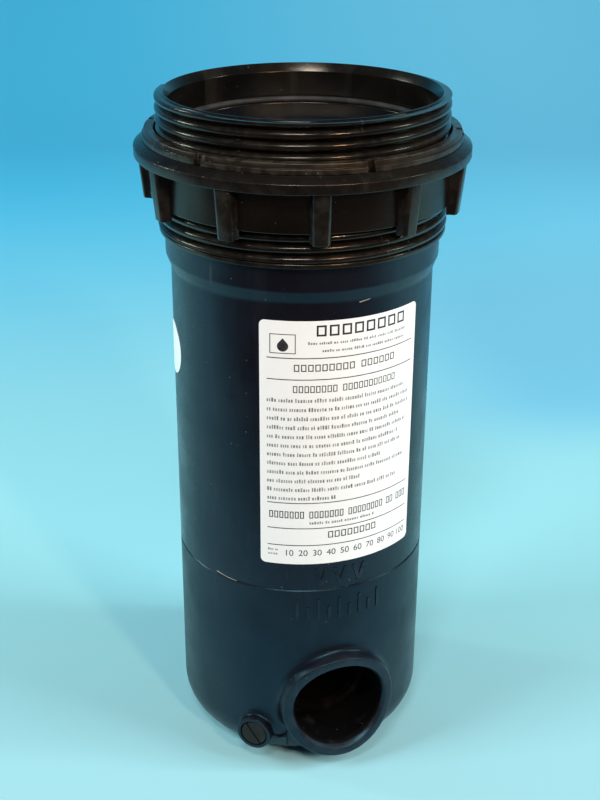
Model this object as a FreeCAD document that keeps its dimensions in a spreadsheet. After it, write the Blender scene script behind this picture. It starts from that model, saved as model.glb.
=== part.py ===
import FreeCAD, Part
import math
import os
import re
import Sketcher

# A top-loading cartridge filter housing for a pool or spa: a moulded tank with a threaded neck and
# two 2 inch slip sockets, the deck-mounting nut on its neck, two drain plugs, and the pleated
# cartridge with its bypass valve inside.  Millimetres, +Z up, origin at the centre of the base.
# Azimuth is counted about +Z from the -Y side, positive towards +X.

DIMENSIONS = {
    # tank
    "tank_radius": 81.0, "tank_wall": 4.0, "tank_height": 432.0, "seam_height": 136.0,
    "floor_thickness": 6.0, "base_round": 30.0, "seam_bevel": 0.8,
    "tongue_length": 10.0, "tongue_wall": 1.9, "tongue_gap": 0.1,
    # neck
    "neck_radius": 84.1, "mouth_radius": 79.5, "mouth_bevel_width": 4.0, "mouth_bevel_height": 5.1,
    "ledge_height": 408.0, "ledge_radius": 75.5, "ledge_land": 9.0, "ledge_flare": 8.0,
    "shoulder_radius": 87.4, "shoulder_low": 349.6, "shoulder_high": 352.2,
    "collar_low": 335.0, "collar_taper": 8.0,
    # threads
    "thread_pitch": 6.35, "thread_start": 352.65, "thread_height": 75.0, "thread_azimuth": -100.0,
    "crest_radius": 87.9, "crest_half": 2.75,
    # sockets
    "socket_height": 49.5, "socket_azimuth": 18.0, "socket_outer": 38.0, "socket_bore": 30.2,
    "socket_stop": 50.0, "socket_inner_end": 46.0, "socket_throat": 26.0, "socket_mouth": 90.0,
    "socket_chamfer": 2.0, "socket_chamfer_depth": 3.2,
    # drain ports and plugs
    "drain_height": 25.0, "drain_azimuth": -20.5, "drain_outer": 11.6, "drain_inner_end": 70.0,
    "drain_face": 86.5, "drain_bore": 6.4, "drain_recess": 9.0, "drain_recess_depth": 3.6,
    "plug_head": 8.6, "plug_head_depth": 2.6, "plug_shank": 6.0, "plug_length": 10.0,
    "plug_slot_width": 2.4, "plug_slot_depth": 1.5, "drain_ring_section": 0.9,
    # outlet elbow
    "elbow_radius": 34.0, "elbow_branch_step": 1.0, "elbow_bore": 21.5, "elbow_top": 96.0, "elbow_floor": 26.0,
    "spigot_radius": 26.4, "spigot_top": 116.0, "spigot_groove_low": 104.3,
    "spigot_groove_high": 107.7, "spigot_groove_radius": 23.7,
    "spigot_ring_radius": 25.3, "spigot_ring_section": 1.5,
    # cartridge
    "gasket_inner": 27.4, "gasket_outer": 33.4, "gasket_thickness": 3.0,
    "cap_radius": 62.7, "cap_hole": 27.2, "cap_web": 4.0, "cap_rim": 2.0, "cap_height": 12.0,
    "cartridge_length": 286.0, "core_inner": 27.6, "core_outer": 30.0, "core_hole": 3.5,
    "core_row_first": 128.0, "core_row_step": 18.0,
    "media_inner": 30.4, "media_outer": 59.6, "band_outer": 60.6, "band_width": 7.0,
    "band_first": 176.0, "band_step": 66.0,
    # bypass valve
    "valve_flange": 33.0, "valve_plate": 4.0, "valve_skirt": 26.5, "valve_bore": 22.0,
    "valve_depth": 29.0, "valve_port": 16.0, "valve_groove_low": 12.3, "valve_groove_high": 8.7,
    "valve_groove_radius": 24.0, "valve_ring_radius": 25.45, "valve_ring_section": 1.4,
    "spider_thickness": 6.0, "spider_radius": 21.9, "spider_ring": 18.6, "spider_hub": 6.0,
    "spider_bore": 3.05, "spider_arm": 5.0, "stem_radius": 3.0, "stem_end": 38.0,
    "disc_radius": 19.6, "disc_thickness": 3.0, "seal_thickness": 2.5, "seal_inner": 14.0,
    "spring_radius": 8.0, "spring_wire": 0.9, "spring_turns": 4.5,
    "handle_span": 21.0, "handle_rise": 9.0, "handle_bar": 3.0,
    # mounting nut
    "nut_bore": 88.6, "nut_wall": 91.8, "nut_low": 371.0, "flange_low": 395.4,
    "flange_edge": 401.2, "flange_radius": 101.0, "ring_radius": 95.65, "ring_inner": 88.7,
    "ring_low": 404.9, "ring_height": 6.3, "ring_notch_width": 4.5, "ring_notch_depth": 3.4,
    "ring_notch_azimuth": 23.0, "lug_low": 365.5, "lug_azimuth": 6.3, "lug_low_radius": 96.7,
    "lug_high_radius": 99.8, "lug_foot": 5.4, "lug_crown": 3.2, "lug_root": 90.4,
    "lug_side_radius": 95.4, "ridge_low": 376.75, "ridge_height": 25.4, "ridge_nose": 85.9,
    # labels
    "label_gap": 0.02, "label_thickness": 0.28, "label_low": 155.5, "label_high": 316.5,
    "label_start": -17.6, "label_sweep": 74.2, "sticker_height": 275.0,
    "sticker_azimuth": -78.0, "sticker_radius": 17.0,
    # neck ring
    "neck_ring_radius": 77.3, "neck_ring_section": 1.8,
}
LUG_COUNT = 11
NOTCH_COUNT = 6
HOLES_AROUND = 8
HOLE_ROWS = 13
BAND_COUNT = 3

doc = FreeCAD.newDocument("filter_housing")
sheet = doc.addObject("Spreadsheet::Sheet", "dims")
for row, (alias, number) in enumerate(DIMENSIONS.items(), start=1):
    sheet.set(f"A{row}", str(number))
    sheet.setAlias(f"A{row}", alias)
doc.recompute()

finished = []


def size(alias):
    """The number in the sheet's cell of that name."""
    return float(sheet.get(alias))


def in_sheet(rule):
    """Turn 'tank_radius - tank_wall' into an expression that reads the sheet."""
    return re.sub(r"[a-z][a-z_]*", r"dims.\g<0>", str(rule))


def bind(item, prop, rule):
    item.setExpression(prop, in_sheet(rule))


def keep(item, node):
    """Give a finished sub-part its own label, which is also its file's name."""
    item.Label = node
    finished.append(item)
    return item


def new_body(name):
    return doc.addObject("PartDesign::Body", name)


def datum(body, role):
    return next(item for item in body.Origin.OriginFeatures if item.Role == role)


def new_sketch(body, name, plane, height=None):
    sketch = body.newObject("Sketcher::SketchObject", name)
    sketch.AttachmentSupport = (datum(body, plane), "")
    sketch.MapMode = "FlatFace"
    if height is not None:
        bind(sketch, "AttachmentOffset.Base.z", height)
    return sketch


def hold(sketch, kind, line, corner, rule, axis):
    """Hold one coordinate of a corner to a rule, or put the corner on an axis when it is zero."""
    if str(rule) == "0":
        sketch.addConstraint(Sketcher.Constraint("PointOnObject", line, corner, axis))
        return
    index = sketch.addConstraint(Sketcher.Constraint(kind, -1, 1, line, corner, 1.0))
    sketch.setExpression(f"Constraints[{index}]", in_sheet(rule))


def outline(body, name, corners, plane="XZ_Plane", height=None):
    """A closed sketch of straight lines, every corner held by two rules."""
    sketch = new_sketch(body, name, plane, height)
    count = len(corners)
    start = [FreeCAD.Vector(10 * math.cos(k), 10 * math.sin(k), 0)
             for k in [2 * math.pi * i / count for i in range(count)]]
    for i in range(count):
        sketch.addGeometry(Part.LineSegment(start[i], start[(i + 1) % count]), False)
    for i in range(count):
        sketch.addConstraint(Sketcher.Constraint("Coincident", i, 2, (i + 1) % count, 1))
    for i, (across, up) in enumerate(corners):
        hold(sketch, "DistanceX", i, 1, across, -2)
        hold(sketch, "DistanceY", i, 1, up, -1)
    return sketch


def spin(body, sketch):
    """Revolve a sketch about the body's own Z axis."""
    turned = body.newObject("PartDesign::Revolution", f"{sketch.Name}_turned")
    turned.Profile = (sketch, [""])
    turned.ReferenceAxis = (sketch, ["V_Axis"])
    return turned


def turned_part(node, corners):
    body = new_body(node)
    spin(body, outline(body, f"{node}_profile", corners))
    return body


def add_helix(body, sketch, height, pitch="thread_pitch"):
    thread = body.newObject("PartDesign::AdditiveHelix", f"{sketch.Name}_helix")
    thread.Profile = (sketch, [""])
    thread.ReferenceAxis = (sketch, ["V_Axis"])
    bind(thread, "Pitch", pitch)
    bind(thread, "Height", height)
    return thread


def add_polar(body, feature, count, angle):
    pattern = body.newObject("PartDesign::PolarPattern", f"{feature.Name}_around")
    pattern.Originals = [feature]
    pattern.Axis = (datum(body, "Z_Axis"), [""])
    pattern.Angle = angle
    pattern.Occurrences = count
    body.Tip = pattern
    return pattern


def outward(azimuth):
    angle = math.radians(azimuth)
    return FreeCAD.Vector(math.sin(angle), -math.cos(angle), 0)


def facing(azimuth, distance, height):
    """A placement whose own Z points outward at that azimuth, at that distance from the axis."""
    spot = outward(azimuth) * distance + FreeCAD.Vector(0, 0, height)
    return FreeCAD.Placement(spot, FreeCAD.Rotation(FreeCAD.Vector(0, 0, 1), outward(azimuth)))


def turned_to(azimuth):
    """A placement that turns a body's own +X to that azimuth."""
    return FreeCAD.Placement(FreeCAD.Vector(), FreeCAD.Rotation(FreeCAD.Vector(0, 0, 1), azimuth - 90))


def cylinder(name, radius, length, placement):
    item = doc.addObject("Part::Cylinder", name)
    bind(item, "Radius", radius)
    bind(item, "Height", length)
    item.Placement = placement
    return item


def upright(name, radius, low, high):
    item = cylinder(name, radius, f"({high}) - ({low})", FreeCAD.Placement())
    bind(item, "Placement.Base.z", low)
    return item


def torus(name, radius, section, placement):
    item = doc.addObject("Part::Torus", name)
    bind(item, "Radius1", radius)
    bind(item, "Radius2", section)
    item.Placement = placement
    return item


def fuse(name, items):
    item = doc.addObject("Part::MultiFuse", name)
    item.Shapes = items
    return item


def cut(name, base, tool):
    item = doc.addObject("Part::Cut", name)
    item.Base = base
    item.Tool = tool
    return item


def common(name, base, tool):
    item = doc.addObject("Part::Common", name)
    item.Base = base
    item.Tool = tool
    return item


# Tank upper half: wall, collar, shoulder and neck, with the ledge that the lid's seal sits on.
def make_tank_upper():
    skirt = "tank_radius - tank_wall + tongue_wall + tongue_gap"
    inner = "tank_radius - tank_wall"
    corners = [
        (skirt, "seam_height"),
        ("tank_radius - seam_bevel", "seam_height"),
        ("tank_radius", "seam_height + seam_bevel"),
        ("tank_radius", "collar_low - collar_taper"),
        ("neck_radius", "collar_low"),
        ("neck_radius", "shoulder_low"),
        ("shoulder_radius", "shoulder_low"),
        ("shoulder_radius", "shoulder_high"),
        ("neck_radius", "shoulder_high + 0.8"),
        ("neck_radius", "tank_height - 0.9"),
        ("neck_radius - 0.6", "tank_height"),
        ("neck_radius - 0.6 - mouth_bevel_width * 0.15", "tank_height"),
        ("mouth_radius", "tank_height - mouth_bevel_height"),
        ("mouth_radius", "ledge_height"),
        ("ledge_radius", "ledge_height"),
        ("ledge_radius", "ledge_height - ledge_land"),
        (inner, "ledge_height - ledge_land - ledge_flare"),
        (inner, "seam_height + tongue_length + tongue_gap"),
        (skirt, "seam_height + tongue_length + tongue_gap"),
    ]
    body = turned_part("tank_upper", corners)
    level = "thread_start"
    crest = [("neck_radius - 0.5", "crest_half"), ("neck_radius + 1.2", "crest_half - 0.25"),
             ("neck_radius + 2.6", "crest_half - 0.85"), ("crest_radius - 0.3", "crest_half - 1.75")]
    lower = [(r, f"{level} - ({half})") for r, half in crest]
    upper = [(r, f"{level} + {half}") for r, half in reversed(crest)]
    section = outline(body, "thread_section", lower + [("crest_radius", level)] + upper)
    add_helix(body, section, "thread_height")
    body.Placement = turned_to(size("thread_azimuth"))
    keep(body, "tank_upper")


# Tank base: bowl with its tongue, the two pipe sockets and the two drain bosses.
def rounded(body, feature, edge_radius, edge_height, rule):
    """Round the circular edge of that radius, at that height, of a turned feature."""
    doc.recompute()
    name = next(f"Edge{i}" for i, edge in enumerate(feature.Shape.Edges, start=1)
                if hasattr(edge.Curve, "Radius") and abs(edge.Curve.Radius - edge_radius) < 0.01
                and abs(edge.Curve.Center.z - edge_height) < 0.01)
    fillet = body.newObject("PartDesign::Fillet", f"{body.Name}_round")
    fillet.Base = (feature, [name])
    bind(fillet, "Radius", rule)
    return fillet


def base_bowl():
    inner = "tank_radius - tank_wall"
    tongue = "tank_radius - tank_wall + tongue_wall"
    body = new_body("base_bowl")
    bowl = spin(body, outline(body, "bowl_profile", [
        ("0", "0"), ("tank_radius", "0"), ("tank_radius", "seam_height - seam_bevel"),
        ("tank_radius - seam_bevel", "seam_height"), (tongue, "seam_height"),
        (tongue, "seam_height + tongue_length"), (inner, "seam_height + tongue_length"),
        (inner, "floor_thickness"), ("0", "floor_thickness")]))
    outside = rounded(body, bowl, size("tank_radius"), 0, "base_round")
    rounded(body, outside, size("tank_radius") - size("tank_wall"), size("floor_thickness"),
            "base_round - tank_wall")
    return body


def socket_tools(name, azimuth):
    """One pipe socket: its outer tube, and the bore, throat and lead-in that are cut from it."""
    height, reach = size("socket_height"), 8.0
    inner = facing(azimuth, size("socket_inner_end"), height)
    stop = facing(azimuth, size("socket_stop"), height)
    throat = facing(azimuth, size("socket_inner_end") - reach, height)
    tube = cylinder(f"{name}_tube", "socket_outer", f"socket_mouth + {reach} - socket_inner_end", inner)
    bore = cylinder(f"{name}_bore", "socket_bore", f"socket_mouth + {reach} - socket_stop", stop)
    narrow = cylinder(f"{name}_throat", "socket_throat", f"socket_stop - socket_inner_end + {2 * reach}", throat)
    lead = doc.addObject("Part::Cone", f"{name}_lead")
    bind(lead, "Radius1", "socket_bore")
    bind(lead, "Radius2", "socket_bore + socket_chamfer")
    bind(lead, "Height", "socket_chamfer_depth")
    lead.Placement = facing(azimuth, size("socket_mouth") - size("socket_chamfer_depth"), height)
    return tube, [bore, narrow, lead]


def drain_tools(name, azimuth):
    """One drain boss, with the plug's bore and the recess for the plug's head."""
    height, reach = size("drain_height"), 12.0
    start = facing(azimuth, size("drain_inner_end"), height)
    boss = cylinder(f"{name}_boss", "drain_outer", "drain_face - drain_inner_end", start)
    bore = cylinder(f"{name}_bore", "drain_bore", f"drain_face - drain_inner_end + {2 * reach}",
                    facing(azimuth, size("drain_inner_end") - reach, height))
    recess = cylinder(f"{name}_recess", "drain_recess", f"drain_recess_depth + {reach}",
                      facing(azimuth, size("drain_face") - size("drain_recess_depth"), height))
    return boss, [bore, recess]


def make_tank_base():
    outlet_azimuth, drain_azimuth = size("socket_azimuth"), size("drain_azimuth")
    outlet, outlet_cuts = socket_tools("outlet", outlet_azimuth)
    inlet, inlet_cuts = socket_tools("inlet", outlet_azimuth + 180)
    front, front_cuts = drain_tools("front_drain", drain_azimuth)
    rear, rear_cuts = drain_tools("rear_drain", drain_azimuth + 180)
    envelope = cylinder("socket_envelope", "socket_mouth", "seam_height", FreeCAD.Placement())
    sockets = common("sockets", fuse("socket_tubes", [outlet, inlet]), envelope)
    solid = fuse("base_solid", [base_bowl(), sockets, front, rear])
    openings = fuse("base_openings", outlet_cuts + inlet_cuts + front_cuts + rear_cuts)
    keep(cut("tank_base", solid, openings), "tank_base")


# Outlet elbow: the riser that the cartridge plugs onto, with its branch to the outlet socket.
def make_outlet_elbow():
    riser = turned_part("riser", [
        ("0", "floor_thickness + 0.1"), ("elbow_radius", "floor_thickness + 0.1"),
        ("elbow_radius", "elbow_top"), ("spigot_radius", "elbow_top"),
        ("spigot_radius", "spigot_groove_low"), ("spigot_groove_radius", "spigot_groove_low"),
        ("spigot_groove_radius", "spigot_groove_high"), ("spigot_radius", "spigot_groove_high"),
        ("spigot_radius", "spigot_top - 1.5"), ("spigot_radius - 1.5", "spigot_top"),
        ("0", "spigot_top")])
    azimuth, height, behind = size("socket_azimuth"), size("socket_height"), 7.0
    branch = cylinder("branch", "elbow_radius - elbow_branch_step", "socket_inner_end - 0.1",
                      facing(azimuth, 0, height))
    bore = cylinder("branch_bore", "socket_throat - elbow_branch_step", f"socket_inner_end + {2 * behind}",
                    facing(azimuth, -behind, height))
    shaft = upright("riser_bore", "elbow_bore", "elbow_floor", "spigot_top + 1")
    bored = cut("elbow_bored", fuse("elbow_solid", [riser, branch]), shaft)
    keep(cut("elbow", bored, bore), "outlet_elbow")


def make_rings():
    """The O-rings that stay in the tank and in the cartridge's top."""
    groove = FreeCAD.Placement(FreeCAD.Vector(0, 0, 106.0), FreeCAD.Rotation())
    ring = torus("spigot_ring", "spigot_ring_radius", "spigot_ring_section", groove)
    bind(ring, "Placement.Base.z", "(spigot_groove_low + spigot_groove_high) / 2")
    keep(ring, "spigot_o_ring")
    ring = torus("neck_ring", "neck_ring_radius", "neck_ring_section", FreeCAD.Placement())
    bind(ring, "Placement.Base.z", "ledge_height + neck_ring_section + 0.02")
    keep(ring, "neck_o_ring")
    ring = torus("valve_ring", "valve_ring_radius", "valve_ring_section", FreeCAD.Placement())
    bind(ring, "Placement.Base.z",
         "elbow_top + gasket_thickness + cartridge_length - (valve_groove_low + valve_groove_high) / 2")
    keep(ring, "bypass_o_ring")


# Labels: thin skins on the outside of the tank.
def label_shell(name, low, high, angle):
    outer = upright(f"{name}_outer", "tank_radius + label_gap + label_thickness", low, high)
    inner = upright(f"{name}_inner", "tank_radius + label_gap", low, high)
    bind(outer, "Angle", angle)
    return cut(f"{name}_shell", outer, inner)


def make_labels():
    item = label_shell("instruction", "label_low", "label_high", "label_sweep")
    item.Placement = turned_to(size("label_start"))
    keep(item, "instruction_label")
    shell = label_shell("side", "sticker_height - 40", "sticker_height + 40", "360")
    disc = cylinder("side_disc", "sticker_radius", "tank_radius + 10",
                    facing(size("sticker_azimuth"), 0, size("sticker_height")))
    keep(common("side_label_patch", shell, disc), "side_label")


# Mounting nut: flanged ring with grip lugs outside and one helical ridge inside.
def make_mounting_nut():
    corners = [
        ("nut_bore", "nut_low"), ("nut_wall - 0.8", "nut_low"), ("nut_wall", "nut_low + 0.8"),
        ("nut_wall", "flange_low"), ("flange_radius - 0.5", "flange_low"),
        ("flange_radius", "flange_low + 0.5"), ("flange_radius", "flange_edge"),
        ("ring_radius + 0.3", "ring_low"), ("nut_bore", "ring_low")]
    body = turned_part("mounting_nut", corners)
    sections = []
    for name, level, reach in (("lug_bottom", "lug_low", "lug_low_radius"),
                               ("lug_top", "flange_low + 0.6", "lug_high_radius")):
        side = f"{reach} - lug_low_radius + lug_side_radius"
        sections.append(outline(body, name, [
            ("lug_root", "-lug_foot"), (side, "-lug_foot + 0.6"), (reach, "-lug_crown"),
            (reach, "lug_crown"), (side, "lug_foot - 0.6"), ("lug_root", "lug_foot")],
            plane="XY_Plane", height=level))
    lug = body.newObject("PartDesign::AdditiveLoft", "lug")
    lug.Profile = (sections[0], [""])
    lug.Sections = [(sections[1], [""])]
    add_polar(body, lug, LUG_COUNT, 360)
    level = "ridge_low"
    ridge = [("ridge_nose", "0.35"), ("ridge_nose + 1.1", "0.95"), ("nut_bore + 0.4", "1.9")]
    lower = [(r, f"{level} - {half}") for r, half in ridge]
    upper = [(r, f"{level} + {half}") for r, half in reversed(ridge)]
    section = outline(body, "ridge_section", lower[::-1] + upper[::-1])
    add_helix(body, section, "ridge_height")
    body.Placement = turned_to(size("lug_azimuth"))
    keep(body, "mounting_nut")


def make_slip_ring():
    """The loose ring on the nut's flange that bears on the deck."""
    corners = [
        ("ring_inner", "ring_low + 0.1"), ("ring_radius", "ring_low + 0.1"),
        ("ring_radius", "ring_low + ring_height - 0.8"),
        ("ring_radius - 0.8", "ring_low + ring_height"), ("ring_inner", "ring_low + ring_height")]
    body = turned_part("nut_slip_ring", corners)
    notch = outline(body, "ring_notch", [
        ("ring_radius - ring_notch_depth", "-ring_notch_width / 2"),
        ("ring_radius + 2", "-ring_notch_width / 2"), ("ring_radius + 2", "ring_notch_width / 2"),
        ("ring_radius - ring_notch_depth", "ring_notch_width / 2")],
        plane="XY_Plane", height="ring_low + ring_height")
    pocket = body.newObject("PartDesign::Pocket", "notch")
    pocket.Profile = (notch, [""])
    bind(pocket, "Length", "ring_notch_depth")
    add_polar(body, pocket, NOTCH_COUNT, 360)
    body.Placement = turned_to(size("ring_notch_azimuth"))
    keep(body, "nut_slip_ring")


# Drain plugs: slotted head, plain shank standing for the tapered thread, and an O-ring under the head.
def make_drain_plug(side, azimuth):
    body = turned_part(f"{side}_plug", [
        ("0", "-plug_length"), ("plug_shank - 0.8", "-plug_length"),
        ("plug_shank", "-plug_length + 0.8"), ("plug_shank", "0"), ("plug_head", "0"),
        ("plug_head", "plug_head_depth - 0.6"), ("plug_head - 0.6", "plug_head_depth"),
        ("0", "plug_head_depth")])
    slot = outline(body, f"{side}_slot", [
        ("-plug_head * 0.75", "-plug_slot_width / 2"), ("plug_head * 0.75", "-plug_slot_width / 2"),
        ("plug_head * 0.75", "plug_slot_width / 2"), ("-plug_head * 0.75", "plug_slot_width / 2")],
        plane="XY_Plane", height="plug_head_depth")
    pocket = body.newObject("PartDesign::Pocket", f"{side}_slot_cut")
    pocket.Profile = (slot, [""])
    bind(pocket, "Length", "plug_slot_depth")
    seat = size("drain_face") - size("drain_recess_depth")
    section = size("drain_ring_section")
    height = size("drain_height")
    body.Placement = facing(azimuth, seat + 2 * section + 0.1, height)
    keep(body, f"drain_plug_{side}")
    ring = torus(f"{side}_ring", "plug_shank + drain_ring_section + 0.3", "drain_ring_section",
                 facing(azimuth, seat + section + 0.05, height))
    keep(ring, f"drain_o_ring_{side}")


# Cartridge: moulded end caps, perforated core, pleated media, bands and the bottom gasket.
def make_cartridge():
    low = "elbow_top + gasket_thickness"
    high = f"{low} + cartridge_length"
    keep(turned_part("gasket", [("gasket_inner", "elbow_top"), ("gasket_outer", "elbow_top"),
                                ("gasket_outer", low), ("gasket_inner", low)]), "cartridge_gasket")
    for node, face, way in (("cartridge_bottom_cap", low, "+"), ("cartridge_top_cap", high, "-")):
        keep(turned_part(node, [
            ("cap_hole", face), ("cap_radius - 1.2", face), ("cap_radius", f"{face} {way} 1.2"),
            ("cap_radius", f"{face} {way} cap_height"),
            ("cap_radius - cap_rim", f"{face} {way} cap_height"),
            ("cap_radius - cap_rim", f"{face} {way} cap_web"), ("cap_hole", f"{face} {way} cap_web")]), node)
    inside_low, inside_high = f"{low} + cap_web + 0.02", f"{high} - cap_web - 0.02"
    keep(turned_part("media", [("media_inner", inside_low), ("media_outer", inside_low),
                               ("media_outer", inside_high), ("media_inner", inside_high)]), "pleated_media")
    make_core(inside_low, inside_high)
    rings = []
    for i in range(BAND_COUNT):
        level = f"band_first + {i} * band_step"
        rings.append(turned_part(f"band_{i}", [
            ("media_outer + 0.02", level), ("band_outer", level),
            ("band_outer", f"{level} + band_width"), ("media_outer + 0.02", f"{level} + band_width")]))
    group = doc.addObject("Part::Compound", "bands")
    group.Links = rings
    keep(group, "media_bands")


def make_core(low, high):
    body = turned_part("core", [("core_inner", low), ("core_outer", low),
                                ("core_outer", high), ("core_inner", high)])
    holes = new_sketch(body, "core_holes", "XZ_Plane")
    for i in range(HOLE_ROWS):
        circle = Part.Circle(FreeCAD.Vector(0, 100 + 10 * i, 0), FreeCAD.Vector(0, 0, 1), 3)
        holes.addGeometry(circle, False)
        hold(holes, "DistanceX", i, 3, "0", -2)
        hold(holes, "DistanceY", i, 3, f"core_row_first + {i} * core_row_step", -1)
        index = holes.addConstraint(Sketcher.Constraint("Radius", i, 3.0))
        holes.setExpression(f"Constraints[{index}]", in_sheet("core_hole"))
    pocket = body.newObject("PartDesign::Pocket", "core_hole_cut")
    pocket.Profile = (holes, [""])
    pocket.Type = "ThroughAll"
    pocket.Midplane = True
    pairs = HOLES_AROUND // 2
    add_polar(body, pocket, pairs, 180 * (pairs - 1) / pairs)
    keep(body, "cartridge_core")


# Bypass valve: it plugs the cartridge's top hole, and opens into the core when the media clogs.
def make_bypass_valve():
    top = "elbow_top + gasket_thickness + cartridge_length"
    housing = turned_part("valve_housing", [
        ("valve_port", f"{top} + 0.02"), ("valve_bore", f"{top} + 0.02"),
        ("valve_bore", f"{top} - valve_depth"), ("valve_skirt", f"{top} - valve_depth"),
        ("valve_skirt", f"{top} - valve_groove_low"), ("valve_groove_radius", f"{top} - valve_groove_low"),
        ("valve_groove_radius", f"{top} - valve_groove_high"), ("valve_skirt", f"{top} - valve_groove_high"),
        ("valve_skirt", f"{top} + 0.02"), ("valve_flange", f"{top} + 0.02"),
        ("valve_flange", f"{top} + valve_plate - 0.8"), ("valve_flange - 0.8", f"{top} + valve_plate"),
        ("valve_port", f"{top} + valve_plate")])
    posts = []
    for name, way in (("post_left", "-"), ("post_right", "")):
        post = upright(name, "handle_bar", f"({top} + 1)", f"({top} + valve_plate + handle_rise)")
        bind(post, "Placement.Base.x", f"{way}handle_span")
        posts.append(post)
    bar = cylinder("handle_bar_rod", "handle_bar", "2 * handle_span", FreeCAD.Placement(
        FreeCAD.Vector(), FreeCAD.Rotation(FreeCAD.Vector(0, 1, 0), 90)))
    bind(bar, "Placement.Base.x", "-handle_span")
    bind(bar, "Placement.Base.z", f"{top} + valve_plate + handle_rise - handle_bar")
    keep(fuse("valve_body", [housing] + posts + [bar]), "bypass_body")

    hub_low = f"({top} - valve_depth)"
    hub_high = f"({top} - valve_depth + spider_thickness)"
    rim = cut("spider_rim", upright("spider_rim_outer", "spider_radius", hub_low, hub_high),
              upright("spider_rim_inner", "spider_ring", hub_low, hub_high))
    arms = []
    for i in range(3):
        arm = doc.addObject("Part::Box", f"spider_arm_{i}")
        bind(arm, "Length", "spider_ring + 1")
        bind(arm, "Width", "spider_arm")
        bind(arm, "Height", "spider_thickness")
        angle = 120 * i
        side = FreeCAD.Rotation(FreeCAD.Vector(0, 0, 1), angle)
        start = side.multVec(FreeCAD.Vector(0, -size("spider_arm") / 2, 0))
        arm.Placement = FreeCAD.Placement(start, side)
        bind(arm, "Placement.Base.z", hub_low)
        arms.append(arm)
    hub = upright("spider_hub_solid", "spider_hub", hub_low, hub_high)
    hole = upright("spider_hole", "spider_bore", hub_low, hub_high)
    keep(cut("spider", fuse("spider_solid", [rim, hub] + arms), hole), "bypass_spider")

    seal_low = f"{top} - seal_thickness"
    disc_low = f"{seal_low} - disc_thickness"
    keep(turned_part("seal", [("seal_inner", seal_low), ("disc_radius", seal_low),
                              ("disc_radius", top), ("seal_inner", top)]), "bypass_seal")
    keep(turned_part("poppet", [
        ("0", f"{top} - stem_end"), ("stem_radius - 0.6", f"{top} - stem_end"),
        ("stem_radius", f"{top} - stem_end + 0.6"), ("stem_radius", disc_low),
        ("disc_radius", disc_low), ("disc_radius", seal_low), ("seal_inner - 0.05", seal_low),
        ("seal_inner - 0.05", f"{top} - 0.4"), ("0", f"{top} - 0.4")]), "bypass_poppet")
    make_spring(hub_high, disc_low)


def make_spring(low, high):
    body = new_body("valve_spring")
    section = new_sketch(body, "wire_section", "XZ_Plane")
    section.addGeometry(Part.Circle(FreeCAD.Vector(8, 10, 0), FreeCAD.Vector(0, 0, 1), 1), False)
    hold(section, "DistanceX", 0, 3, "spring_radius", -2)
    hold(section, "DistanceY", 0, 3, f"{low} + spring_wire + 0.05", -1)
    index = section.addConstraint(Sketcher.Constraint("Radius", 0, 1.0))
    section.setExpression(f"Constraints[{index}]", in_sheet("spring_wire"))
    span = f"({high} - ({low}) - 2 * spring_wire - 0.1)"
    add_helix(body, section, span, pitch=f"{span} / spring_turns")
    keep(body, "bypass_spring")


def check_document():
    doc.recompute()
    for item in doc.Objects:
        if "Invalid" in item.State or "Error" in item.State:
            raise RuntimeError(f"{item.Name} failed: {item.State}")
    for item in finished:
        shape = item.Shape
        if shape.isNull() or not shape.isValid() or not shape.Solids:
            raise RuntimeError(f"{item.Label} has no sound solid")


make_tank_upper()
make_tank_base()
make_outlet_elbow()
make_rings()
make_labels()
make_mounting_nut()
make_slip_ring()
make_drain_plug("front", size("drain_azimuth"))
make_drain_plug("rear", size("drain_azimuth") + 180)
make_cartridge()
make_bypass_valve()
check_document()

os.makedirs("parts", exist_ok=True)
for item in finished:
    item.Shape.exportStep(f"parts/{item.Label}.step")
    box = item.Shape.BoundBox
    print(f"{item.Label:22s} solids {len(item.Shape.Solids)} volume {item.Shape.Volume:10.1f} "
          f"z {box.ZMin:7.2f} to {box.ZMax:7.2f}")
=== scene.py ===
import math
import random

import bmesh
import bpy
import numpy as np
from mathutils import Matrix, Vector


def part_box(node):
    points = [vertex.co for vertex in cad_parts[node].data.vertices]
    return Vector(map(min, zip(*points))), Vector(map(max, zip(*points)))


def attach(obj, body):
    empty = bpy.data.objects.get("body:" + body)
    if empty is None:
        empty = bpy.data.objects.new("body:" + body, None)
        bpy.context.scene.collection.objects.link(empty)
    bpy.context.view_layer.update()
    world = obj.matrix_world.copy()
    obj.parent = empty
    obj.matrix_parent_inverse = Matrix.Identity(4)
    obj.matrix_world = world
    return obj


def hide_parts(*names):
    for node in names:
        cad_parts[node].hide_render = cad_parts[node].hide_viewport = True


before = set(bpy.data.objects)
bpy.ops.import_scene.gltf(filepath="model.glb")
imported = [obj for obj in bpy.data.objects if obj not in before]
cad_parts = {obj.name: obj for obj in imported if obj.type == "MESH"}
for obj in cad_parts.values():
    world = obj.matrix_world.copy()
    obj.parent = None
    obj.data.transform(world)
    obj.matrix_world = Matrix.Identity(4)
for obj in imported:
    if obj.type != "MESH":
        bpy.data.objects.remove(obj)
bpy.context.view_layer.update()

MM = 0.001


def corners_of(node):
    """A CAD node's lowest and highest corner, in millimetres."""
    low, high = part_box(node)
    return low / MM, high / MM


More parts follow.
